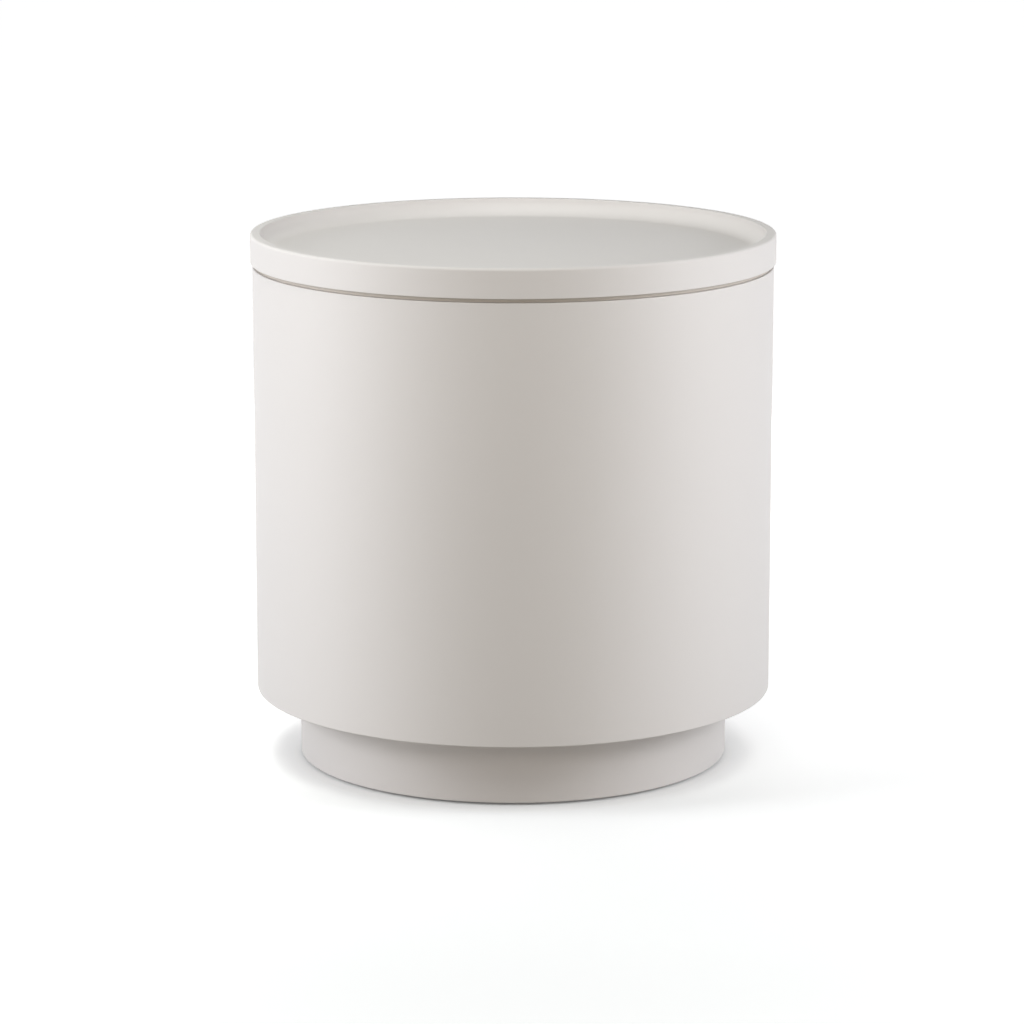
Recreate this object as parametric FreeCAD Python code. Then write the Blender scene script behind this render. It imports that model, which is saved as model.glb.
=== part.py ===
"""Round drum nightstand in millimetres: a tray lid that lifts off a storage drum, on a set-back plinth.

Z is up, the floor is z = 0 and the drum's axis is the Z axis. The side that faces the room is -Y.
From the top down: the lid is turned from one board, with a shallow tray above, and a neck and a spigot below.
The spigot drops into the drum's mouth and rests on felt pads on a ledge ring. The neck stops just short of
the drum's edge, so that a shadow groove runs all round.
The drum is a bent shell with a floor panel glued into its lower end. The plinth is a bent ring glued to a
panel and four blocks. Screws from below hold that panel up to the drum's floor, and each block has a glide.
"""

import FreeCAD
import Part

import math
import os

from FreeCAD import Vector

# The whole nightstand
lid_diameter = 450.0
lid_height = 25.0
lid_overhang = 1.75
shadow_gap = 3.5
drum_height = 368.5
plinth_height = 60.0
plinth_setback = 37.5

# Tray lid
rim_width = 9.0
rim_chamfer = 2.5
tray_depth = 15.0
cove_radius = 8.0
neck_setback = 4.0
neck_clearance = 0.3
spigot_depth = 10.0
spigot_clearance = 1.25

# Drum shell and its floor panel
shell_wall = 9.0
floor_thickness = 12.0

# Ledge ring inside the drum's mouth, and the felt pads on it
ledge_width = 16.0
ledge_height = 24.0
pad_count = 6
pad_length = 24.0
pad_width = 10.0
pad_thickness = 1.5

# Plinth ring, plinth panel, glue blocks and the glides under the blocks
plinth_wall = 12.0
panel_thickness = 12.0
block_count = 4
block_width = 40.0
block_depth = 28.0
block_chamfer = 4.0
glide_diameter = 25.0
glide_thickness = 2.0

# Pan-head screws that hold the plinth to the drum
screw_count = 4
screw_inset = 48.0
screw_diameter = 4.0
screw_length = 20.0
screw_head_diameter = 8.0
screw_head_height = 2.6
screw_hole_clearance = 0.25

# One overrun serves every cut
overrun = 1.0

# Levels, from the floor up
plinth_bottom = glide_thickness
drum_bottom = plinth_height
panel_bottom = drum_bottom - panel_thickness
screw_head_bottom = panel_bottom - screw_head_height
screw_tip = panel_bottom + screw_length
floor_level = drum_bottom + floor_thickness
drum_top = drum_bottom + drum_height
lid_bottom = drum_top + shadow_gap
lid_top = lid_bottom + lid_height
neck_bottom = drum_top + neck_clearance
tray_level = lid_top - tray_depth
spigot_bottom = lid_bottom - spigot_depth
ledge_level = spigot_bottom - pad_thickness
ledge_bottom = ledge_level - ledge_height

# Radii, from the outside in
lid_radius = lid_diameter / 2
tray_radius = lid_radius - rim_width
neck_radius = lid_radius - neck_setback
shell_radius = lid_radius - lid_overhang
mouth_radius = shell_radius - shell_wall
spigot_radius = mouth_radius - spigot_clearance
pad_circle_radius = mouth_radius - ledge_width / 2
ledge_inner_radius = mouth_radius - ledge_width
plinth_radius = shell_radius - plinth_setback
panel_radius = plinth_radius - plinth_wall
glide_circle_radius = panel_radius - block_depth / 2
block_inner_radius = panel_radius - block_depth
screw_circle_radius = panel_radius - screw_inset
screw_radius = screw_diameter / 2


def at(radius, height):
    """Point of an outline in the XZ plane."""
    return Vector(radius, 0, height)


def straight_sides(points):
    """Straight edges that join the points in turn."""
    return [Part.LineSegment(start, finish).toShape() for start, finish in zip(points, points[1:])]


def turned(edges):
    """Solid of revolution about the Z axis from the edges of a closed outline."""
    return Part.Face(Part.Wire(edges)).revolve(Vector(), Vector(0, 0, 1), 360)


def disc(radius, bottom, top):
    """Plain disc about the Z axis."""
    return Part.makeCylinder(radius, top - bottom, Vector(0, 0, bottom))


def plain_ring(inner_radius, outer_radius, bottom, top):
    """Ring of square section about the Z axis."""
    first_corner = at(inner_radius, bottom)
    other_corners = [at(outer_radius, bottom), at(outer_radius, top), at(inner_radius, top)]
    return turned(straight_sides([first_corner] + other_corners + [first_corner]))


def on_circle(shape, circle_radius, angle):
    """Copy of a shape, moved out along +X and turned to its place on a circle about the Z axis."""
    copy = shape.copy()
    copy.translate(Vector(circle_radius, 0, 0))
    copy.rotate(Vector(), Vector(0, 0, 1), angle)
    return copy


def round_circle(shape, circle_radius, angles):
    """Copies of a shape at each of the angles on a circle about the Z axis."""
    return [on_circle(shape, circle_radius, angle) for angle in angles]


def even_angles(count, first_share):
    """Angles in degrees of evenly spaced places, the first of them a share of one step round from +X."""
    step = 360 / count
    return [step * (i + first_share) for i in range(count)]


pad_angles = even_angles(pad_count, first_share=0)
screw_angles = even_angles(screw_count, first_share=0)
block_angles = even_angles(block_count, first_share=0.5)


def make_lid_tray():
    """Lid: a coved tray inside an upright rim above, and below a neck and a spigot for the drum's mouth."""
    cove_fit = min(cove_radius, tray_depth - rim_chamfer)
    cove_top = at(tray_radius, tray_level + cove_fit)
    cove_bottom = at(tray_radius - cove_fit, tray_level)
    to_middle = cove_fit * math.cos(math.pi / 4)
    cove_middle = at(tray_radius - cove_fit + to_middle, tray_level + cove_fit - to_middle)
    outside = straight_sides([
        at(0, tray_level),
        at(0, spigot_bottom),
        at(spigot_radius, spigot_bottom),
        at(spigot_radius, neck_bottom),
        at(neck_radius, neck_bottom),
        at(neck_radius, lid_bottom),
        at(lid_radius, lid_bottom),
        at(lid_radius, lid_top - rim_chamfer),
        at(lid_radius - rim_chamfer, lid_top),
        at(tray_radius, lid_top),
        cove_top,
    ])
    cove = Part.Arc(cove_top, cove_middle, cove_bottom).toShape()
    tray_floor = straight_sides([cove_bottom, at(0, tray_level)])
    return turned(outside + [cove] + tray_floor)


def make_drum_floor():
    """Floor panel inside the shell's lower end, with a blind pilot hole from below for each screw."""
    holes = round_circle(make_plinth_screw(), screw_circle_radius, screw_angles)
    return disc(mouth_radius, drum_bottom, floor_level).cut(holes)


def make_lid_pad():
    """Felt pad on +X, between the ledge ring and the lid's spigot. Its length runs across the radius."""
    corner = Vector(-pad_width / 2, -pad_length / 2, ledge_level)
    return Part.makeBox(pad_width, pad_length, pad_thickness, corner)


def make_plinth_panel():
    """Panel inside the top of the plinth ring, with a through hole for each screw up to the drum's floor."""
    hole = disc(screw_radius + screw_hole_clearance, panel_bottom - overrun, drum_bottom + overrun)
    holes = round_circle(hole, screw_circle_radius, screw_angles)
    return disc(panel_radius, panel_bottom, drum_bottom).cut(holes)


def make_plinth_block():
    """Glue block on +X, under the panel and against the ring, with both of its inner corners cut off."""
    half_width = block_width / 2
    outer_x = math.sqrt(panel_radius**2 - half_width**2)
    corners = [
        Vector(outer_x, half_width, plinth_bottom),
        Vector(block_inner_radius + block_chamfer, half_width, plinth_bottom),
        Vector(block_inner_radius, half_width - block_chamfer, plinth_bottom),
        Vector(block_inner_radius, block_chamfer - half_width, plinth_bottom),
        Vector(block_inner_radius + block_chamfer, -half_width, plinth_bottom),
        Vector(outer_x, -half_width, plinth_bottom),
    ]
    against_ring = Part.Arc(corners[-1], Vector(panel_radius, 0, plinth_bottom), corners[0]).toShape()
    outline = Part.Wire(straight_sides(corners) + [against_ring])
    return Part.Face(outline).extrude(Vector(0, 0, panel_bottom - plinth_bottom))


def make_plinth_screw():
    """Pan-head screw about the Z axis, its head below the panel and its shank up in the drum's floor."""
    return turned(straight_sides([
        at(0, screw_head_bottom),
        at(screw_head_diameter / 2, screw_head_bottom),
        at(screw_head_diameter / 2, panel_bottom),
        at(screw_radius, panel_bottom),
        at(screw_radius, screw_tip),
        at(0, screw_tip),
        at(0, screw_head_bottom),
    ]))


def all_pieces():
    """Every piece of the nightstand by name. The screws share one name as separate solids."""
    screws = round_circle(make_plinth_screw(), screw_circle_radius, screw_angles)
    pieces = {
        "lid_tray": make_lid_tray(),
        "drum_shell": plain_ring(mouth_radius, shell_radius, drum_bottom, drum_top),
        "drum_floor": make_drum_floor(),
        "ledge_ring": plain_ring(ledge_inner_radius, mouth_radius, ledge_bottom, ledge_level),
        "plinth_ring": plain_ring(panel_radius, plinth_radius, plinth_bottom, drum_bottom),
        "plinth_panel": make_plinth_panel(),
        "plinth_screws": Part.makeCompound(screws),
    }
    repeats = {
        "lid_pad": (make_lid_pad(), pad_circle_radius, pad_angles),
        "plinth_block": (make_plinth_block(), 0, block_angles),
        "glide": (disc(glide_diameter / 2, 0, plinth_bottom), glide_circle_radius, block_angles),
    }
    for name, pattern in repeats.items():
        for number, copy in enumerate(round_circle(*pattern), start=1):
            pieces[f"{name}_{number}"] = copy
    return pieces


os.makedirs("parts", exist_ok=True)
for name, shape in all_pieces().items():
    shape.exportStep(os.path.join("parts", name + ".step"))
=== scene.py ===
"""Dresses the round drum nightstand in its lacquer and sets it on a pale studio floor.

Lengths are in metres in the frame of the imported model: Z is up, the floor is z = 0, the drum's axis is the
Z axis and the side that faces the room is -Y. Places come from the frame's boxes. The sizes below are those
that a box doesn't give.
"""

import math

import bmesh
import bpy
from mathutils import Matrix, Vector


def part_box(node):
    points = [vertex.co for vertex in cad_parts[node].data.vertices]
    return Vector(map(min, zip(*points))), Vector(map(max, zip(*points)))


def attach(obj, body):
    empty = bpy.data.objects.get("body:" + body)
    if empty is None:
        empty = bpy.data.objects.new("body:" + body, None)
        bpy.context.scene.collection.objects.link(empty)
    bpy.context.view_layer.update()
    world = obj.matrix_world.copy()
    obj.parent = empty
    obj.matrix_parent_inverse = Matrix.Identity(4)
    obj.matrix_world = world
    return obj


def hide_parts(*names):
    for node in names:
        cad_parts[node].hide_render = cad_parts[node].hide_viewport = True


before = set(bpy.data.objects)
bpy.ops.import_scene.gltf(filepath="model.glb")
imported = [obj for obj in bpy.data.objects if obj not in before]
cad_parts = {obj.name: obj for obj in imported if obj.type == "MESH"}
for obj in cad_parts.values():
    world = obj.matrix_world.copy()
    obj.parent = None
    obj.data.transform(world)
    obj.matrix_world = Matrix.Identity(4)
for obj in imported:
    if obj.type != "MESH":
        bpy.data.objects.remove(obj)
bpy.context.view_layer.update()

bl_info = {
    "name": "Round drum nightstand",
    "version": (1, 0),
    "blender": (4, 5, 0),
    "location": "3D View > Sidebar > Nightstand",
    "description": "Dresses a round drum nightstand with a tray lid and lights it in a plain studio",
    "category": "Object",
}

MM = 0.001


def from_screen(red, green, blue):
    """Linear colour from screen levels of 0 to 255."""
    shares = [level / 255 for level in (red, green, blue)]
    return tuple(s / 12.92 if s <= 0.04045 else ((s + 0.055) / 1.055) ** 2.4 for s in shares)


def a_length(label, description, default):
    """Property for a length in metres."""
    return bpy.props.FloatProperty(
        name=label, description=description, default=default, min=0, unit="LENGTH")


def a_power(label, description, default):
    """Property for a lamp's power in watts."""
    return bpy.props.FloatProperty(
        name=label, description=description, default=default, min=0, unit="POWER")


def a_colour(label, description, default):
    """Property for a linear colour."""
    return bpy.props.FloatVectorProperty(
        name=label, description=description, default=default, min=0, max=1, subtype="COLOR")


# Sizes and colours that a user would change


class NightstandSizes(bpy.types.PropertyGroup):
    """Sizes of the nightstand that the frame's boxes don't give."""

    lid_height: a_length("Lid height", "From the lid's lower face to the top of its rim", 25 * MM)
    rim_width: a_length("Rim width", "Width of the flat-topped rim round the tray", 9 * MM)
    rim_outer_round: a_length("Rim outer round", "Round on the rim's outer top edge", 2.5 * MM)
    rim_inner_round: a_length("Rim inner round", "Round on the rim's inner top edge", 1 * MM)
    tray_depth: a_length("Tray depth", "From the top of the rim down to the tray's floor", 15 * MM)
    cove_round: a_length("Cove round", "Round between the rim's inner wall and the tray's floor", 13 * MM)
    lid_lower_round: a_length("Lid lower round", "Round on the lid's lower outer edge", 0.5 * MM)
    neck_setback: a_length("Neck setback", "How far the neck is set back from the lid's outside", 4 * MM)
    neck_clearance: a_length("Neck clearance", "Gap between the neck and the drum's upper edge", 0.3 * MM)
    spigot_clearance: a_length("Spigot clearance", "Gap between the spigot and the drum's mouth", 1.25 * MM)
    spigot_round: a_length("Spigot round", "Round on the spigot's lower edge", 1.5 * MM)
    board_edge_round: a_length("Board edge round", "Round on the edges of shell and plinth ring", 0.8 * MM)
    ledge_width: a_length("Ledge width", "How far the ledge ring stands in from the drum's mouth", 16 * MM)
    ledge_round: a_length("Ledge round", "Round on the ledge ring's inner edges", 2 * MM)
    block_edge_round: a_length("Block edge round", "Easing on the edges of the glue blocks", 0.6 * MM)
    pad_edge_round: a_length("Pad edge round", "Softening on the edges of the felt pads", 0.45 * MM)
    glide_edge_round: a_length("Glide edge round", "Round on the glides' lower edge", 0.7 * MM)
    glide_dish_radius: a_length("Glide dish radius", "Radius of the shallow dish under each glide", 4 * MM)
    glide_dish_depth: a_length("Glide dish depth", "Depth of the shallow dish under each glide", 0.3 * MM)
    screw_diameter: a_length("Screw diameter", "Outer diameter of the thread of the plinth screws", 4 * MM)
    screw_core_diameter: a_length("Screw core diameter", "Diameter of a screw under its thread", 2.8 * MM)
    screw_pitch: a_length("Screw pitch", "Rise of the thread in one turn", 1.8 * MM)
    screw_point: a_length("Screw point", "Length of the screws' conical point", 4.5 * MM)
    screw_head_diameter: a_length("Screw head diameter", "Diameter of the pan heads", 8 * MM)
    screw_head_height: a_length("Screw head height", "Height of the pan heads", 2.6 * MM)
    screw_head_round: a_length("Screw head round", "Round on the edge of the pan heads", 1.5 * MM)
    recess_length: a_length("Recess length", "Length of each slot of the cross recess", 4.4 * MM)
    recess_width: a_length("Recess width", "Width of each slot of the cross recess", 0.9 * MM)
    recess_depth: a_length("Recess depth", "Depth of the cross recess", 1.7 * MM)


class NightstandColours(bpy.types.PropertyGroup):
    """Colours of the nightstand's finishes."""

    lacquer: a_colour("Lacquer", "Warm off-white satin lacquer", from_screen(222, 217, 213))
    # The neck's colour is the lacquer darkened, which paints shade into the shadow gap
    neck: a_colour("Neck", "Deeper, warmer lacquer in the shadow gap", from_screen(196, 188, 178))
    board: a_colour("Bare board", "Fibre board left bare under the plinth", from_screen(172, 140, 107))
    pine: a_colour("Pine", "Planed pine of the glue blocks", from_screen(214, 183, 138))
    felt: a_colour("Felt", "Off-white wool felt", from_screen(196, 191, 183))
    nylon: a_colour("Nylon", "Natural nylon of the glides", from_screen(206, 204, 197))
    zinc: a_colour("Zinc", "Zinc plate of the screws", from_screen(201, 202, 205))
    floor: a_colour("Floor", "Pale matte studio floor", from_screen(231, 231, 230))
    floor_bounce: a_colour("Floor bounce", "Floor as it lights the nightstand", from_screen(155, 155, 154))


class StudioSettings(bpy.types.PropertyGroup):
    """Camera and lamps of the studio."""

    camera_distance: a_length("Camera distance", "Level distance from the drum's axis to the camera", 3.34)
    camera_height: a_length("Camera height", "Height of the camera above the floor", 0.9123)
    camera_pitch: bpy.props.FloatProperty(
        name="Camera pitch", description="How far the camera looks down", default=0.207, unit="ROTATION")
    lens: bpy.props.FloatProperty(
        name="Lens", description="Focal length for a 36 mm frame", default=138.2, subtype="DISTANCE_CAMERA")
    axis_shift: bpy.props.FloatProperty(
        name="Axis shift", description="Share of the picture by which the axis lies right of its middle",
        default=0.00112, subtype="FACTOR")
    left_high_power: a_power("Left high power", "Power of the high lamp on the left", 8)
    right_high_power: a_power("Right high power", "Power of the high lamp on the right", 8.3)
    left_middle_power: a_power("Left middle power", "Power of the lamp at half height on the left", 7.6)
    right_middle_power: a_power("Right middle power", "Power of the lamp at half height on the right", 7.9)
    left_base_power: a_power("Left base power", "Power of the lamp near the floor on the left", 6.4)
    right_base_power: a_power("Right base power", "Power of the lamp near the floor on the right", 5.3)
    front_power: a_power("Front power", "Power of the lamp in front", 9)
    front_base_power: a_power("Front base power", "Power of the lamp near the floor in front", 4)
    top_power: a_power("Top power", "Power of the high lamp in front", 10.2)
    tray_power: a_power("Tray power", "Power of the lamp over the left of the tray", 3.8)
    back_power: a_power("Back power", "Power of the low lamp behind the drum", 12)
    side_tint: a_colour("Side tint", "Slightly cool colour of the lamps at the sides", (0.92, 0.945, 0.99))
    front_tint: a_colour("Front tint", "Slightly warm colour of the lamp in front", (1, 0.955, 0.9))
    front_base_tint: a_colour("Front base tint", "Warm colour of the lamp near the floor", (1, 0.82, 0.62))
    top_tint: a_colour("Top tint", "Slightly green colour of the lamps over the tray", (0.95, 0.985, 0.95))


# Shader maths


class Socket:
    """Wraps an output socket, so that sums, differences, products and quotients add their Math nodes."""

    def __init__(self, nodes, socket):
        self.nodes = nodes
        self.socket = socket

    def maths(self, operation, first, second):
        """Math node on two values or sockets."""
        sockets = {"Value": first, "Value_001": second}
        return self.nodes.add("ShaderNodeMath", {"operation": operation}, sockets)

    def __add__(self, other):
        return self.maths("ADD", self, other)

    def __sub__(self, other):
        return self.maths("SUBTRACT", self, other)

    def __mul__(self, other):
        return self.maths("MULTIPLY", self, other)

    def __truediv__(self, other):
        return self.maths("DIVIDE", self, other)

    def __rsub__(self, other):
        return self.maths("SUBTRACT", other, self)

    __radd__ = __add__
    __rmul__ = __mul__


class Nodes:
    """Adds nodes to one tree."""

    def __init__(self, tree):
        self.tree = tree
        tree.nodes.clear()

    def add(self, kind, settings, sockets, output=0):
        """Adds a node, makes its settings, sets or links its sockets, and returns one of its outputs."""
        node = self.tree.nodes.new(kind)
        for name, value in settings.items():
            if name == "stops":
                self.set_stops(node.color_ramp.elements, value)
            else:
                setattr(node, name, value)
        by_name = {socket.identifier: socket for socket in node.inputs}
        for name, value in sockets.items():
            if isinstance(value, Socket):
                self.tree.links.new(value.socket, by_name[name])
            else:
                by_name[name].default_value = value
        return Socket(self, node.outputs[output]) if node.outputs else None

    @staticmethod
    def set_stops(elements, stops):
        """Gives a ramp its stops as pairs of a place and a grey level."""
        while len(elements) < len(stops):
            elements.new(0)
        for element, (place, level) in zip(elements, stops):
            element.position = place
            element.color = (level, level, level, 1)

    def place(self):
        """Object coordinates, which are metres in the frame."""
        return self.add("ShaderNodeTexCoord", {}, {}, output="Object")

    def stretched(self, scale, location=(0, 0, 0)):
        """Object coordinates that are stretched and then moved."""
        sockets = {"Vector": self.place(), "Scale": scale, "Location": location}
        return self.add("ShaderNodeMapping", {}, sockets)

    def length(self, vector):
        """Length of a vector."""
        return self.add("ShaderNodeVectorMath", {"operation": "LENGTH"}, {"Vector": vector}, output="Value")

    def noise(self, vector, scale, detail=2.0, roughness=0.5, distortion=0.0):
        """Noise from 0 to 1, with a scale in features for each metre."""
        sockets = {
            "Vector": vector, "Scale": scale, "Detail": detail, "Roughness": roughness,
            "Distortion": distortion}
        return self.add("ShaderNodeTexNoise", {}, sockets)

    def ramp(self, value, stops):
        """Value carried through a ramp of grey stops."""
        return self.add("ShaderNodeValToRGB", {"stops": stops}, {"Fac": value})

    def blend(self, share, first, second):
        """Colour between two colours."""
        sockets = {"Factor_Float": share, "A_Color": first, "B_Color": second}
        return self.add("ShaderNodeMix", {"data_type": "RGBA"}, sockets, output=2)

    def bump(self, height, distance):
        """Normal from a height of 0 to 1 that stands for a distance."""
        return self.add("ShaderNodeBump", {}, {"Height": height, "Distance": distance})

    def surface(self, **sockets):
        """Principled surface as the tree's output. Socket names have underscores for spaces."""
        named = {name.replace("_", " "): value for name, value in sockets.items()}
        shader = self.add("ShaderNodeBsdfPrincipled", {}, named)
        self.add("ShaderNodeOutputMaterial", {}, {"Surface": shader})


def shade(colour, share):
    """Colour made lighter or darker by a share, with its fourth channel."""
    return (*(min(channel * share, 1) for channel in colour), 1)


def new_material(name):
    """Material with an empty tree, and the nodes of that tree."""
    material = bpy.data.materials.new(name)
    material.use_nodes = True
    return material, Nodes(material.node_tree)


def known_material(name, make):
    """Material by name, made the first time that it is asked for."""
    return bpy.data.materials.get(name) or make(name, bpy.context.scene.nightstand_colours)


def spray_lacquer(name, colour):
    """Sprayed satin lacquer: a fine orange peel, a faint drift of tone and a slightly uneven sheen."""
    material, nodes = new_material(name)
    place = nodes.place()
    drift = nodes.noise(place, scale=5, detail=3)
    tone = nodes.blend(drift, shade(colour, 0.985), shade(colour, 1.015))
    clouds = nodes.noise(place, scale=38, detail=4, roughness=0.6)
    peel = nodes.noise(place, scale=420, detail=2) * 0.6 + nodes.noise(place, scale=1300, detail=1) * 0.4
    nodes.surface(
        Base_Color=tone,
        Roughness=clouds * 0.06 + 0.54,
        IOR=1.45,
        Specular_IOR_Level=0.4,
        Normal=nodes.bump(peel, 0.02 * MM),
    )
    return material


def make_lacquer(name, colours):
    """The nightstand's own off-white."""
    return spray_lacquer(name, colours.lacquer)


def make_painted_shade_lacquer(name, colours):
    """The lacquer in a deeper, warmer tone, which paints shade into the shadow gap."""
    return spray_lacquer(name, colours.neck)


def make_board(name, colours):
    """Bare fibre board: short fibres in all directions, with a few dark specks and faint sanding marks."""
    material, nodes = new_material(name)
    place = nodes.place()
    fibres = nodes.noise(place, scale=900, detail=5, roughness=0.7, distortion=1.5)
    clouds = nodes.noise(place, scale=55, detail=3)
    specks = nodes.ramp(nodes.noise(place, scale=1500, detail=1), [(0.66, 0), (0.72, 1)])
    sanding = nodes.noise(nodes.stretched((18, 900, 900)), scale=1, detail=2)
    body = nodes.blend(fibres * 0.7 + clouds * 0.3, shade(colours.board, 0.72), shade(colours.board, 1.25))
    tone = nodes.blend(specks * 0.55, body, shade(colours.board, 0.42))
    height = fibres * 0.7 + sanding * 0.3
    nodes.surface(Base_Color=tone, Roughness=fibres * 0.15 + 0.74, Normal=nodes.bump(height, 0.05 * MM))
    return material


PITH_X = 0.031
PITH_Y = -0.017
RINGS_IN_METRE = 330


def make_pine(name, colours):
    """Planed pine, its grain upright and its year rings round a pith near the drum's axis."""
    material, nodes = new_material(name)
    sway = nodes.noise(nodes.stretched((9, 9, 2.2)), scale=1, detail=2)
    from_pith = nodes.length(nodes.stretched((1, 1, 0.04), location=(-PITH_X, -PITH_Y, 0)))
    turns = from_pith * RINGS_IN_METRE + sway * 5
    rings = nodes.add("ShaderNodeMath", {"operation": "FRACT"}, {"Value": turns})
    late_wood = nodes.ramp(rings, [(0, 0), (0.5, 0.14), (0.82, 0.85), (0.93, 1), (1, 0)])
    fibres = nodes.noise(nodes.stretched((1700, 1700, 45)), scale=1, detail=3, roughness=0.65)
    warm = nodes.blend(late_wood, shade(colours.pine, 1.06), (*from_screen(183, 132, 80), 1))
    tone = nodes.blend(fibres * 0.35, warm, shade(colours.pine, 0.62))
    height = fibres * 0.6 + late_wood * 0.4
    nodes.surface(Base_Color=tone, Roughness=0.62 - late_wood * 0.12, Normal=nodes.bump(height, 0.06 * MM))
    return material


def make_felt(name, colours):
    """Pressed wool felt: tangled fibres, a mottled tone and a soft sheen."""
    material, nodes = new_material(name)
    place = nodes.place()
    tangle = nodes.noise(place, scale=2600, detail=4, roughness=0.75, distortion=2.5)
    clumps = nodes.noise(place, scale=420, detail=3, roughness=0.6)
    mottle = tangle * 0.55 + clumps * 0.45
    tone = nodes.blend(mottle, shade(colours.felt, 0.62), shade(colours.felt, 1.3))
    nodes.surface(
        Base_Color=tone,
        Roughness=tangle * 0.06 + 0.92,
        Sheen_Weight=0.35,
        Sheen_Roughness=0.5,
        Normal=nodes.bump(mottle, 0.25 * MM),
    )
    return material


def make_nylon(name, colours):
    """Moulded nylon: fine spark texture, slightly cloudy, with scuffs along the floor."""
    material, nodes = new_material(name)
    place = nodes.place()
    cloud = nodes.noise(place, scale=160, detail=3)
    spark = nodes.noise(place, scale=2400, detail=2)
    rubbing = nodes.noise(nodes.stretched((70, 1900, 300)), scale=1, detail=2)
    scuffs = nodes.ramp(rubbing, [(0.55, 0), (0.72, 1)])
    tone = nodes.blend(cloud, shade(colours.nylon, 0.94), shade(colours.nylon, 1.05))
    scuffed = nodes.blend(scuffs * 0.3, tone, shade(colours.nylon, 0.72))
    nodes.surface(
        Base_Color=scuffed,
        Roughness=spark * 0.1 + 0.42 + scuffs * 0.2,
        Normal=nodes.bump(spark - scuffs * 0.4, 0.02 * MM),
    )
    return material


def make_zinc(name, colours):
    """Bright zinc plate with a faint patchy bloom and fine turning marks."""
    material, nodes = new_material(name)
    place = nodes.place()
    bloom = nodes.noise(place, scale=700, detail=3)
    grain = nodes.noise(nodes.stretched((600, 600, 5200)), scale=1, detail=2)
    tone = nodes.blend(bloom, shade(colours.zinc, 0.86), (*from_screen(214, 208, 190), 1))
    nodes.surface(
        Base_Color=tone,
        Metallic=1.0,
        Roughness=bloom * 0.16 + 0.24,
        Normal=nodes.bump(grain, 0.006 * MM),
    )
    return material


# Mesh tools

ROUND_STEPS = 256
SMALL_STEPS = 64
ROUND_SEGMENTS = 8
SHARP = 0
SUPPORT = 0.35 * MM
MOST_OF_EDGE = 0.95
MERGE = 0.001 * MM
FLAT_ANGLE = math.radians(0.2)
SHARP_ANGLE = math.radians(28)


def outline(corners):
    """Bmesh that holds one face in the XZ plane through corners given as (radius, height)."""
    shape = bmesh.new()
    shape.faces.new([shape.verts.new((radius, 0, height)) for radius, height in corners])
    return shape


def bevel(shape, geometry, size, segments, affect):
    """Rounds points or edges."""
    bmesh.ops.bevel(
        shape, geom=geometry, offset=size, offset_type="OFFSET", segments=segments, profile=0.5,
        affect=affect, material=-1)


def round_corner(shape, radius, height, size):
    """Rounds the outline's corner at a place. Support points keep the flats flat where an edge has room."""
    place = Vector((radius, 0, height))
    vert = min(shape.verts, key=lambda v: (v.co - place).length)
    for edge in list(vert.link_edges):
        share = (size + SUPPORT) / edge.calc_length()
        if share < MOST_OF_EDGE:
            bmesh.utils.edge_split(edge, vert, share)
    bevel(shape, [vert], size, ROUND_SEGMENTS, "VERTICES")


def spin_outline(shape, steps):
    """Turns the outline into a closed surface about the Z axis."""
    bmesh.ops.delete(shape, geom=shape.faces[:], context="FACES_ONLY")
    on_axis = [edge for edge in shape.edges if all(abs(v.co.x) < MERGE for v in edge.verts)]
    bmesh.ops.delete(shape, geom=on_axis, context="EDGES")
    bmesh.ops.spin(
        shape, geom=shape.verts[:] + shape.edges[:], cent=(0, 0, 0), axis=(0, 0, 1), dvec=(0, 0, 0),
        angle=math.tau, steps=steps, use_merge=True)
    bmesh.ops.remove_doubles(shape, verts=shape.verts[:], dist=MERGE)
    bmesh.ops.recalc_face_normals(shape, faces=shape.faces[:])


def turned(corners, steps=ROUND_STEPS):
    """Closed turned surface through corners given as (radius, height, size of the corner's round)."""
    shape = outline([corner[:2] for corner in corners])
    for radius, height, size in corners:
        if size:
            round_corner(shape, radius, height, size)
    spin_outline(shape, steps)
    return shape


def ring(node, inner, outer, rounds):
    """Turned ring as high as a node, with rounds from the inner lower corner outwards, up and back in."""
    low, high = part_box(node)
    corners = ((inner, low.z), (outer, low.z), (outer, high.z), (inner, high.z))
    return turned([(*corner, size) for corner, size in zip(corners, rounds)])


def copied(node):
    """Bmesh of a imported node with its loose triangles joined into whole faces."""
    shape = bmesh.new()
    shape.from_mesh(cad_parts[node].data)
    bmesh.ops.remove_doubles(shape, verts=shape.verts[:], dist=MERGE)
    bmesh.ops.dissolve_limit(shape, angle_limit=FLAT_ANGLE, verts=shape.verts[:], edges=shape.edges[:])
    return shape


def ease_edges(shape, size, segments):
    """Bevels every edge that turns sharply."""
    edges = [edge for edge in shape.edges if edge.calc_face_angle(0) > SHARP_ANGLE]
    bevel(shape, edges, size, segments, "EDGES")


def new_piece(name, shape):
    """Object from a bmesh, smooth apart from its sharp edges."""
    for face in shape.faces:
        face.smooth = True
    for edge in shape.edges:
        edge.smooth = edge.calc_face_angle(0) < SHARP_ANGLE
    mesh = bpy.data.meshes.new(name)
    shape.to_mesh(mesh)
    shape.free()
    piece = bpy.data.objects.new(name, mesh)
    bpy.context.scene.collection.objects.link(piece)
    return piece


def dress(piece, material, body, node):
    """Gives a piece its material and slot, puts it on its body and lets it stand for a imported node."""
    piece.data.materials.clear()
    piece.data.materials.append(material)
    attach(piece, body)
    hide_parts(node)


def assign(node, material):
    """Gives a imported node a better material."""
    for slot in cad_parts[node].material_slots:
        slot.material = material


def radius_of(node):
    """Radius of a round node about the Z axis, just inside its box."""
    low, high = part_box(node)
    return min(high.x, high.y, -low.x, -low.y)


def nodes_named(start):
    """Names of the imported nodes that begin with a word, in order."""
    return sorted(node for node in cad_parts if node.startswith(start))


# Lid and drum


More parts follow.
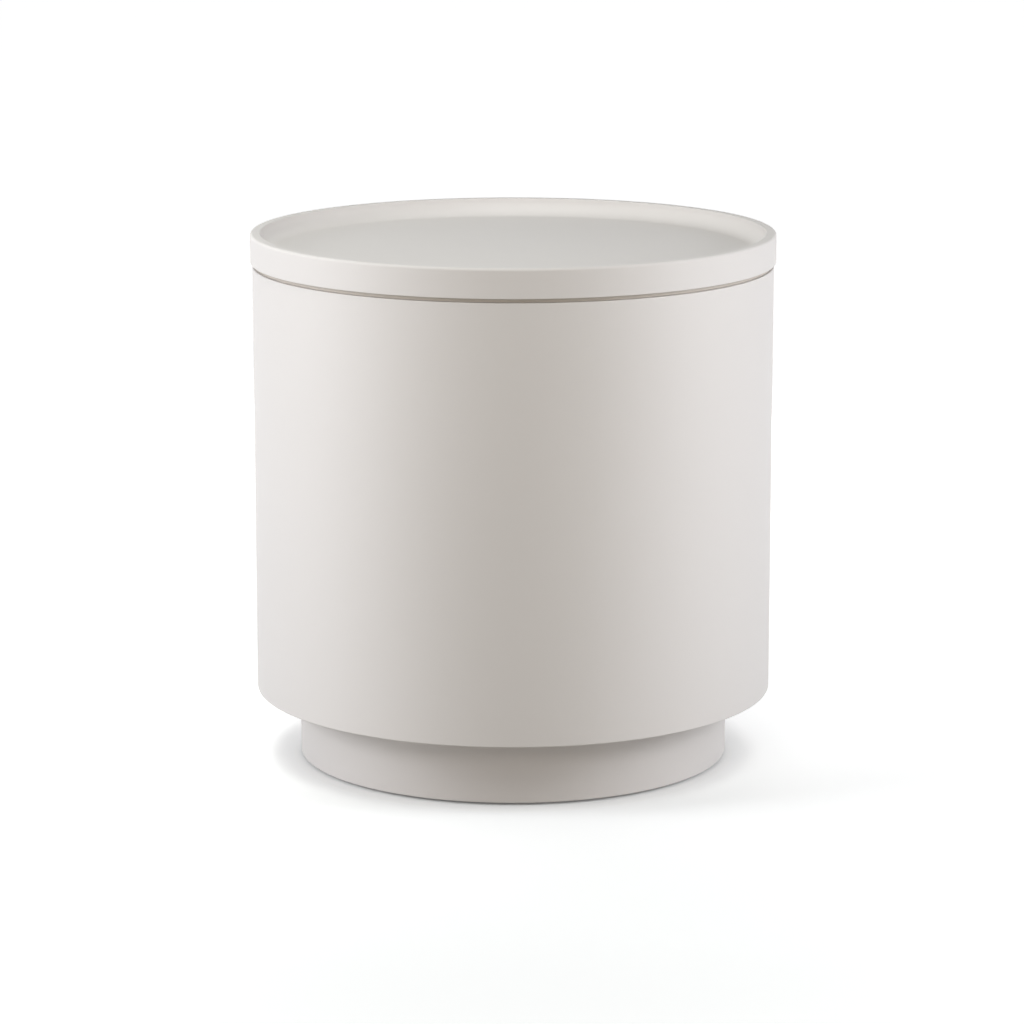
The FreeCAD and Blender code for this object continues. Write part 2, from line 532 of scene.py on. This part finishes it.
class NIGHTSTAND_OT_lid(bpy.types.Operator):
    """Make the turned tray lid with its rounded rim, cove, neck and spigot"""

    bl_idname = "nightstand.lid"
    bl_label = "Tray lid"

    def execute(self, context):
        sizes = context.scene.nightstand_sizes
        low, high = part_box("lid_tray")
        outer = radius_of("lid_tray")
        inner = outer - sizes.rim_width
        neck = outer - sizes.neck_setback
        spigot = radius_of("drum_floor") - sizes.spigot_clearance
        tray_floor = high.z - sizes.tray_depth
        underside = high.z - sizes.lid_height
        neck_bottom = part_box("drum_shell")[1].z + sizes.neck_clearance
        lid = new_piece("turned_tray_lid", turned([
            (0, tray_floor, SHARP),
            (0, low.z, SHARP),
            (spigot, low.z, sizes.spigot_round),
            (spigot, neck_bottom, SHARP),
            (neck, neck_bottom, SHARP),
            (neck, underside, SHARP),
            (outer, underside, sizes.lid_lower_round),
            (outer, high.z, sizes.rim_outer_round),
            (inner, high.z, sizes.rim_inner_round),
            (inner, tray_floor, sizes.cove_round),
        ]))
        dress(lid, known_material("satin_lacquer", make_lacquer), "lid", "lid_tray")
        # The neck's faces get the darker lacquer, which paints shade into the shadow gap
        lid.data.materials.append(known_material("neck_lacquer", make_painted_shade_lacquer))
        for face in lid.data.polygons:
            on_neck = abs(face.center.xy.length - neck) < SUPPORT
            if on_neck and neck_bottom < face.center.z < underside:
                face.material_index = 1
        return {"FINISHED"}


class NIGHTSTAND_OT_shell(bpy.types.Operator):
    """Make the drum's bent shell"""

    bl_idname = "nightstand.shell"
    bl_label = "Drum shell"

    def execute(self, context):
        edge = context.scene.nightstand_sizes.board_edge_round
        mouth, outer = radius_of("drum_floor"), radius_of("drum_shell")
        shell = new_piece("bent_shell", ring("drum_shell", mouth, outer, (edge, edge, edge, edge)))
        dress(shell, known_material("satin_lacquer", make_lacquer), "cabinet", "drum_shell")
        return {"FINISHED"}


class NIGHTSTAND_OT_ledge(bpy.types.Operator):
    """Make the ledge ring inside the drum's mouth"""

    bl_idname = "nightstand.ledge"
    bl_label = "Ledge ring"

    def execute(self, context):
        sizes = context.scene.nightstand_sizes
        mouth = radius_of("drum_floor")
        rounds = (sizes.ledge_round, SHARP, SHARP, sizes.ledge_round)
        ledge = new_piece("rounded_ledge", ring("ledge_ring", mouth - sizes.ledge_width, mouth, rounds))
        dress(ledge, known_material("satin_lacquer", make_lacquer), "cabinet", "ledge_ring")
        return {"FINISHED"}


class NIGHTSTAND_OT_pads(bpy.types.Operator):
    """Make the felt pads that the lid rests on"""

    bl_idname = "nightstand.pads"
    bl_label = "Felt pads"

    def execute(self, context):
        sizes = context.scene.nightstand_sizes
        for node in nodes_named("lid_pad"):
            shape = copied(node)
            ease_edges(shape, sizes.pad_edge_round, segments=3)
            pad = new_piece("soft_" + node, shape)
            dress(pad, known_material("pressed_felt", make_felt), "cabinet", node)
        return {"FINISHED"}


# Panels and plinth


class NIGHTSTAND_OT_panels(bpy.types.Operator):
    """Lacquer the drum's floor and finish the plinth's bare panel"""

    bl_idname = "nightstand.panels"
    bl_label = "Panels"

    def execute(self, context):
        assign("drum_floor", known_material("satin_lacquer", make_lacquer))
        assign("plinth_panel", known_material("bare_fibre_board", make_board))
        return {"FINISHED"}


class NIGHTSTAND_OT_plinth(bpy.types.Operator):
    """Make the plinth's bent ring"""

    bl_idname = "nightstand.plinth"
    bl_label = "Plinth ring"

    def execute(self, context):
        edge = context.scene.nightstand_sizes.board_edge_round
        inner, outer = radius_of("plinth_panel"), radius_of("plinth_ring")
        plinth = new_piece("bent_plinth", ring("plinth_ring", inner, outer, (edge, edge, SHARP, SHARP)))
        dress(plinth, known_material("satin_lacquer", make_lacquer), "cabinet", "plinth_ring")
        return {"FINISHED"}


class NIGHTSTAND_OT_blocks(bpy.types.Operator):
    """Make the pine glue blocks in the plinth"""

    bl_idname = "nightstand.blocks"
    bl_label = "Glue blocks"

    def execute(self, context):
        sizes = context.scene.nightstand_sizes
        for node in nodes_named("plinth_block"):
            shape = copied(node)
            ease_edges(shape, sizes.block_edge_round, segments=2)
            block = new_piece("eased_" + node, shape)
            dress(block, known_material("planed_pine", make_pine), "cabinet", node)
        return {"FINISHED"}


class NIGHTSTAND_OT_glides(bpy.types.Operator):
    """Make the moulded glides under the glue blocks"""

    bl_idname = "nightstand.glides"
    bl_label = "Glides"

    def execute(self, context):
        sizes = context.scene.nightstand_sizes
        dish, deep = sizes.glide_dish_radius, sizes.glide_dish_depth
        for node in nodes_named("glide"):
            low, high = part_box(node)
            radius = (high.x - low.x) / 2
            shape = turned([
                (0, high.z, SHARP),
                (radius, high.z, SHARP),
                (radius, low.z, sizes.glide_edge_round),
                (dish, low.z, SHARP),
                (dish - deep, deep, SHARP),
                (0, deep, SHARP),
            ], SMALL_STEPS)
            middle = (low + high) / 2
            bmesh.ops.translate(shape, verts=shape.verts[:], vec=(middle.x, middle.y, 0))
            glide = new_piece("moulded_" + node, shape)
            dress(glide, known_material("moulded_nylon", make_nylon), "cabinet", node)
        return {"FINISHED"}


# Screws

SCREW_COUNT = 4
RECESS_TAPER = (0.45, 0.8, 1)
THREAD_SINK = 0.1 * MM
THREAD_HALF_FOOT = 0.3
STEPS_IN_TURN = 24


def cross_cutter(sizes, below):
    """Tapered cross below and into a screw's head, which cuts its driver recess."""
    shape = bmesh.new()
    for turn in (0, math.pi / 2):
        made = bmesh.ops.create_cube(shape, size=1)
        scale = Vector((sizes.recess_length, sizes.recess_width, 2 * sizes.recess_depth))
        bmesh.ops.scale(shape, verts=made["verts"], vec=scale)
        deep_end = [vert for vert in made["verts"] if vert.co.z > 0]
        bmesh.ops.scale(shape, verts=deep_end, vec=RECESS_TAPER)
        bmesh.ops.rotate(shape, verts=made["verts"], cent=(0, 0, 0), matrix=Matrix.Rotation(turn, 3, "Z"))
    bmesh.ops.translate(shape, verts=shape.verts[:], vec=(0, 0, below))
    return shape


def cut_with(piece, cutter):
    """Takes the cutter's shape out of the piece for good, and removes the cutter."""
    boolean = piece.modifiers.new("cut", "BOOLEAN")
    boolean.object = cutter
    boolean.solver = "EXACT"
    boolean.use_self = True
    bpy.context.view_layer.update()
    result = bpy.data.meshes.new_from_object(piece.evaluated_get(bpy.context.evaluated_depsgraph_get()))
    piece.modifiers.clear()
    piece.data = result
    bpy.data.objects.remove(cutter)


def screw_thread(sizes, bottom, top):
    """Thread ridge that climbs round the screw's core from the bottom to the top."""
    core = sizes.screw_core_diameter / 2 - THREAD_SINK
    crest = sizes.screw_diameter / 2
    half_foot = THREAD_HALF_FOOT * sizes.screw_pitch
    shape = outline([(core, bottom), (crest, bottom + half_foot), (core, bottom + 2 * half_foot)])
    turns = (top - bottom - 2 * half_foot) / sizes.screw_pitch
    bmesh.ops.spin(
        shape, geom=shape.faces[:], cent=(0, 0, 0), axis=(0, 0, 1),
        dvec=(0, 0, sizes.screw_pitch / STEPS_IN_TURN), angle=math.tau * turns,
        steps=round(turns * STEPS_IN_TURN), use_merge=False)
    bmesh.ops.recalc_face_normals(shape, faces=shape.faces[:])
    return shape


def one_screw(sizes, bottom, tip):
    """Bmesh of one screw on the Z axis, with its recessed head at the bottom and its thread above it."""
    head, core = sizes.screw_head_diameter / 2, sizes.screw_core_diameter / 2
    head_face = bottom + sizes.screw_head_height
    thread_top = tip - sizes.screw_point
    body = new_piece("screw", turned([
        (0, bottom, SHARP),
        (head, bottom, sizes.screw_head_round),
        (head, head_face, SHARP),
        (core, head_face, SHARP),
        (core, thread_top, SHARP),
        (0, tip, SHARP),
    ], SMALL_STEPS))
    cut_with(body, new_piece("cross", cross_cutter(sizes, bottom)))
    whole = bmesh.new()
    whole.from_mesh(body.data)
    bpy.data.objects.remove(body)
    thread = screw_thread(sizes, head_face + sizes.screw_pitch, thread_top)
    ridge = bpy.data.meshes.new("thread")
    thread.to_mesh(ridge)
    thread.free()
    whole.from_mesh(ridge)
    return whole


class NIGHTSTAND_OT_screws(bpy.types.Operator):
    """Make the pan-head screws with their cross recesses and threads"""

    bl_idname = "nightstand.screws"
    bl_label = "Plinth screws"

    def execute(self, context):
        sizes = context.scene.nightstand_sizes
        low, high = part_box("plinth_screws")
        shape = one_screw(sizes, low.z, high.z)
        circle = high.x - sizes.screw_head_diameter / 2
        bmesh.ops.translate(shape, verts=shape.verts[:], vec=(circle, 0, 0))
        bmesh.ops.spin(
            shape, geom=shape.verts[:] + shape.edges[:] + shape.faces[:], cent=(0, 0, 0), axis=(0, 0, 1),
            dvec=(0, 0, 0), angle=math.tau * (SCREW_COUNT - 1) / SCREW_COUNT, steps=SCREW_COUNT - 1,
            use_duplicate=True)
        screws = new_piece("recessed_plinth_screws", shape)
        dress(screws, known_material("zinc_plate", make_zinc), "cabinet", "plinth_screws")
        return {"FINISHED"}


# Stage

# White that the floor adds for the camera: beside the drum, more behind it and less in front, and far off
SIDE_GLOW = 0.49
BACK_GLOW = 0.22
FAR_GLOW = 0.7

# Share of that white that is left against the plinth, where it paints the drum's contact shadow on the floor
GLOW_IN_PAINTED_SHADOW = 0.39

# Distances from the drum's axis in metres
FLOOR_RADIUS = 16.0
FAR_STARTS = 0.6
FAR_ENDS = 1.9
SIDE_LAMPS_AWAY = 1.6

# Millimetres
SENSOR_WIDTH = 36

# Lamps on both sides: azimuth in degrees, height in metres, and width and height of the light
SIDE_LAMPS = {
    "high": (72, 1.15, (0.7, 1.1)),
    "middle": (75, 0.75, (0.7, 0.5)),
    "base": (80, 0.16, (0.9, 0.3)),
}


def seen_rays(nodes):
    """One on camera, glossy and transmission rays, and nothing on diffuse rays."""
    path = {}
    for name in ("Is Camera Ray", "Is Glossy Ray", "Is Transmission Ray"):
        path[name] = nodes.add("ShaderNodeLightPath", {}, {}, output=name)
    camera_or_glossy = path["Is Camera Ray"].maths("MAXIMUM", path["Is Camera Ray"], path["Is Glossy Ray"])
    return camera_or_glossy.maths("MAXIMUM", camera_or_glossy, path["Is Transmission Ray"])


def make_floor(name, colours):
    """Pale matte floor that looks white to cameras and mirrors and keeps the nightstand's shadow.

    A glow on those rays stands for the white room round the stage. It fades by distance from the axis under
    the drum's overhang, which paints a contact shadow round the plinth, and it is weakest in front, where
    the lamps are strongest. To the rays that carry light on to the nightstand the floor is a plain grey.
    """
    material, nodes = new_material(name)
    seen = seen_rays(nodes)
    place = nodes.place()
    pale = nodes.blend(nodes.noise(place, scale=3), shade(colours.floor, 0.995), shade(colours.floor, 1.0))
    tone = nodes.blend(seen, shade(colours.floor_bounce, 1), pale)
    matte = nodes.add("ShaderNodeBsdfDiffuse", {}, {"Color": tone})
    away = nodes.length(place)
    backwards = nodes.add("ShaderNodeSeparateXYZ", {}, {"Vector": place}, output="Y") / away
    # Painted contact shadow: the glow fades by distance from the axis, from the drum's edge in to the plinth
    overhang = {
        "Value": away, "From Min": radius_of("plinth_ring"), "From Max": radius_of("drum_shell"),
        "To Min": GLOW_IN_PAINTED_SHADOW, "To Max": 1}
    painted_contact_shadow = nodes.add("ShaderNodeMapRange", {"interpolation_type": "SMOOTHSTEP"}, overhang)
    span = {"Value": away, "From Min": FAR_STARTS, "From Max": FAR_ENDS, "To Min": 0, "To Max": FAR_GLOW}
    far_glow = nodes.add("ShaderNodeMapRange", {"interpolation_type": "SMOOTHSTEP"}, span)
    glow = painted_contact_shadow * (backwards * BACK_GLOW + SIDE_GLOW) + far_glow
    white = nodes.add("ShaderNodeEmission", {}, {"Color": (1, 1, 1, 1), "Strength": 1})
    glowing = nodes.add("ShaderNodeAddShader", {}, {"Shader": matte, "Shader_001": white})
    mixed = {"Fac": glow * seen, "Shader": matte, "Shader_001": glowing}
    whole = nodes.add("ShaderNodeMixShader", {}, mixed)
    nodes.add("ShaderNodeOutputMaterial", {}, {"Surface": whole})
    return material


def make_world():
    """World that is white to cameras and mirrors, and doesn't light matte surfaces."""
    world = bpy.data.worlds.new("studio")
    world.use_nodes = True
    nodes = Nodes(world.node_tree)
    white = nodes.add("ShaderNodeBackground", {}, {"Color": (1, 1, 1, 1), "Strength": seen_rays(nodes)})
    nodes.add("ShaderNodeOutputWorld", {}, {"Surface": white})
    bpy.context.scene.world = world


def soft_lamp(name, azimuth, height, distance, light, power, colour):
    """Area lamp that looks at the drum. An azimuth of 0 is in front of the drum, and 90 is on its right."""
    lamp = bpy.data.lights.new(name, "AREA")
    lamp.shape = "RECTANGLE"
    lamp.size, lamp.size_y = light
    lamp.energy = power
    lamp.color = colour
    holder = bpy.data.objects.new(name, lamp)
    bpy.context.scene.collection.objects.link(holder)
    turn = math.radians(azimuth)
    holder.location = (distance * math.sin(turn), -distance * math.cos(turn), height)
    target = Vector((0, 0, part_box("drum_shell")[1].z / 2))
    holder.rotation_euler = (target - holder.location).to_track_quat("-Z", "Y").to_euler()
    holder.visible_camera = False
    return holder


class NIGHTSTAND_OT_stage(bpy.types.Operator):
    """Make the camera, the floor, the world and the lamps"""

    bl_idname = "nightstand.stage"
    bl_label = "Studio stage"

    def execute(self, context):
        scene = context.scene
        self.make_camera(scene)
        shape = bmesh.new()
        bmesh.ops.create_circle(shape, cap_ends=True, radius=FLOOR_RADIUS, segments=SMALL_STEPS)
        floor = new_piece("studio_floor", shape)
        floor.data.materials.append(known_material("matte_floor", make_floor))
        make_world()
        self.make_lamps(scene.nightstand_studio)
        scene.view_settings.view_transform = "Standard"
        return {"FINISHED"}

    @staticmethod
    def make_camera(scene):
        """Camera at the photograph's place."""
        studio = scene.nightstand_studio
        lens = bpy.data.cameras.new("camera")
        lens.sensor_width = SENSOR_WIDTH
        lens.lens = studio.lens
        lens.shift_x = -studio.axis_shift
        lens.dof.use_dof = False
        camera = bpy.data.objects.new("camera", lens)
        scene.collection.objects.link(camera)
        camera.location = (0, -studio.camera_distance, studio.camera_height)
        camera.rotation_euler = (math.pi / 2 - studio.camera_pitch, 0, 0)
        scene.camera = camera

    @staticmethod
    def make_lamps(studio):
        """Lamps on both sides, in front, over the tray and behind."""
        for level, (azimuth, height, light) in SIDE_LAMPS.items():
            for side, turn in (("left", -azimuth), ("right", azimuth)):
                soft_lamp(
                    f"{side}_{level}_softbox", turn, height, SIDE_LAMPS_AWAY, light,
                    power=getattr(studio, f"{side}_{level}_power"), colour=studio.side_tint)
        soft_lamp(
            "front_softbox", azimuth=0, height=1.2, distance=2.35, light=(1.6, 0.7),
            power=studio.front_power, colour=studio.front_tint)
        soft_lamp(
            "front_base_softbox", azimuth=0, height=0.3, distance=2.4, light=(1.6, 0.4),
            power=studio.front_base_power, colour=studio.front_base_tint)
        soft_lamp(
            "top_softbox", azimuth=0, height=2, distance=1.5, light=(1.4, 0.9),
            power=studio.top_power, colour=studio.top_tint)
        soft_lamp(
            "tray_softbox", azimuth=-90, height=1.35, distance=0.5, light=(0.9, 0.2),
            power=studio.tray_power, colour=studio.top_tint)
        back = soft_lamp(
            "back_softbox", azimuth=180, height=0.22, distance=1.7, light=(1.8, 0.36),
            power=studio.back_power, colour=(1, 1, 1))
        back.visible_glossy = False


# Add-on

STEPS = ("stage", "lid", "shell", "ledge", "plinth", "panels", "blocks", "pads", "glides", "screws")


class NIGHTSTAND_PT_panel(bpy.types.Panel):
    """Steps, sizes, colours and studio of the nightstand"""

    bl_idname = "NIGHTSTAND_PT_panel"
    bl_label = "Round drum nightstand"
    bl_space_type = "VIEW_3D"
    bl_region_type = "UI"
    bl_category = "Nightstand"

    def draw(self, context):
        for step in STEPS:
            self.layout.operator("nightstand." + step)
        scene = context.scene
        for group in (scene.nightstand_sizes, scene.nightstand_colours, scene.nightstand_studio):
            box = self.layout.box()
            for name in group.bl_rna.properties.keys():
                if name not in ("rna_type", "name"):
                    box.prop(group, name)


CLASSES = (
    NightstandSizes,
    NightstandColours,
    StudioSettings,
    NIGHTSTAND_OT_stage,
    NIGHTSTAND_OT_lid,
    NIGHTSTAND_OT_shell,
    NIGHTSTAND_OT_ledge,
    NIGHTSTAND_OT_plinth,
    NIGHTSTAND_OT_panels,
    NIGHTSTAND_OT_blocks,
    NIGHTSTAND_OT_pads,
    NIGHTSTAND_OT_glides,
    NIGHTSTAND_OT_screws,
    NIGHTSTAND_PT_panel,
)


def register():
    """Registers the classes and hangs their settings on the scene."""
    for kind in CLASSES:
        bpy.utils.register_class(kind)
    bpy.types.Scene.nightstand_sizes = bpy.props.PointerProperty(type=NightstandSizes)
    bpy.types.Scene.nightstand_colours = bpy.props.PointerProperty(type=NightstandColours)
    bpy.types.Scene.nightstand_studio = bpy.props.PointerProperty(type=StudioSettings)


def unregister():
    """Takes the settings off the scene and unregisters the classes."""
    del bpy.types.Scene.nightstand_studio
    del bpy.types.Scene.nightstand_colours
    del bpy.types.Scene.nightstand_sizes
    for kind in reversed(CLASSES):
        bpy.utils.unregister_class(kind)


def main():
    register()
    for step in STEPS:
        getattr(bpy.ops.nightstand, step)()


if __name__ == "__main__":
    main()
